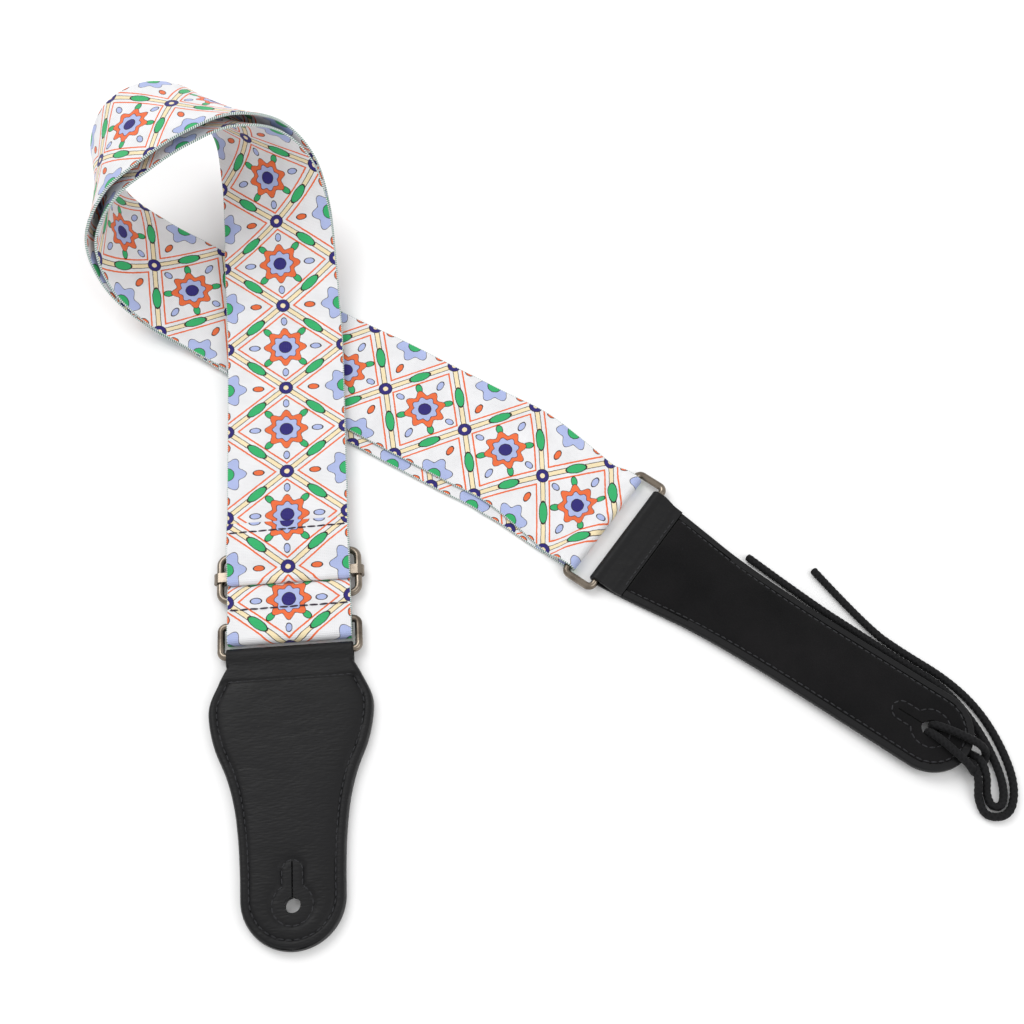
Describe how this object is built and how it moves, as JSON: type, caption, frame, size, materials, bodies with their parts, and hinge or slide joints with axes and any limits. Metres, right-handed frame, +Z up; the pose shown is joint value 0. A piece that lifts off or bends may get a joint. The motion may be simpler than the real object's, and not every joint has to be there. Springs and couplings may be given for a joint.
{
  "type": "guitar strap",
  "caption": "Printed webbing guitar strap with wire rings, tri-glide, leather end tabs and a bootlace.",
  "frame": {"origin": "centre of the front tab's button hole at the table plane", "axes": "+Y from the front tab's hole towards its ring, +Z up from the table, +X to the right"},
  "size_m": [0.3592, 0.3686, 0.0726],
  "materials": {
    "webbing": "woven, printed",
    "webbing_thread": "matte",
    "nickel": "polished nickel",
    "leather": "smooth, slightly glossy",
    "suede": "napped",
    "foam": "matte",
    "board": "matte",
    "leather_thread": "waxed",
    "cord": "braided"
  },
  "bodies": {
    "webbing": {"front_end_loop": "webbing", "under_run": "webbing", "over_run": "webbing", "rear_bight": "webbing", "end_loop_seam": "webbing_thread"},
    "slider": {"glide_frame": "nickel", "glide_bar": "nickel", "glide_weave": "webbing", "glide_loop": "webbing", "glide_seam": "webbing_thread"},
    "front_ring": {"front_ring": "nickel"},
    "front_tab": {"front_cover": "leather", "front_foam": "foam", "front_backing": "leather", "front_edge_seam": "leather_thread", "front_cross_seam": "leather_thread", "front_keyhole_seam": "leather_thread"},
    "rear_ring": {"rear_ring": "nickel"},
    "rear_tab": {"rear_base": "leather", "rear_stiffener": "board", "rear_lining": "suede", "rear_edge_seam": "leather_thread", "rear_cross_seam": "leather_thread", "rear_keyhole_seam": "leather_thread", "cord_long_tail": "cord", "cord_short_tail": "cord"}
  },
  "joints": [
    {"name": "strap_length", "type": "slide", "parent": "webbing", "child": "slider", "axis": [0, 1, 0], "range_m": [0, 0.03], "deforming": ["under_run", "over_run", "front_end_loop"]},
    {"name": "front_ring_swing", "type": "hinge", "parent": "webbing", "child": "front_ring", "pos_m": [0, 0.1117, 0.0031], "axis": [1, 0, 0], "range_deg": [-75, 75]},
    {"name": "front_tab_swing", "type": "hinge", "parent": "front_ring", "child": "front_tab", "pos_m": [0, 0.0989, 0.0031], "axis": [1, 0, 0], "range_deg": [-75, 75]},
    {"name": "rear_ring_swing", "type": "hinge", "parent": "webbing", "child": "rear_ring", "pos_m": [0.12989, 0.1469, 0.0031], "axis": [0.6428, 0.766, 0], "range_deg": [-75, 75]},
    {"name": "rear_tab_swing", "type": "hinge", "parent": "rear_ring", "child": "rear_tab", "pos_m": [0.1397, 0.13867, 0.0031], "axis": [0.6428, 0.766, 0], "range_deg": [-75, 75]}
  ]
}
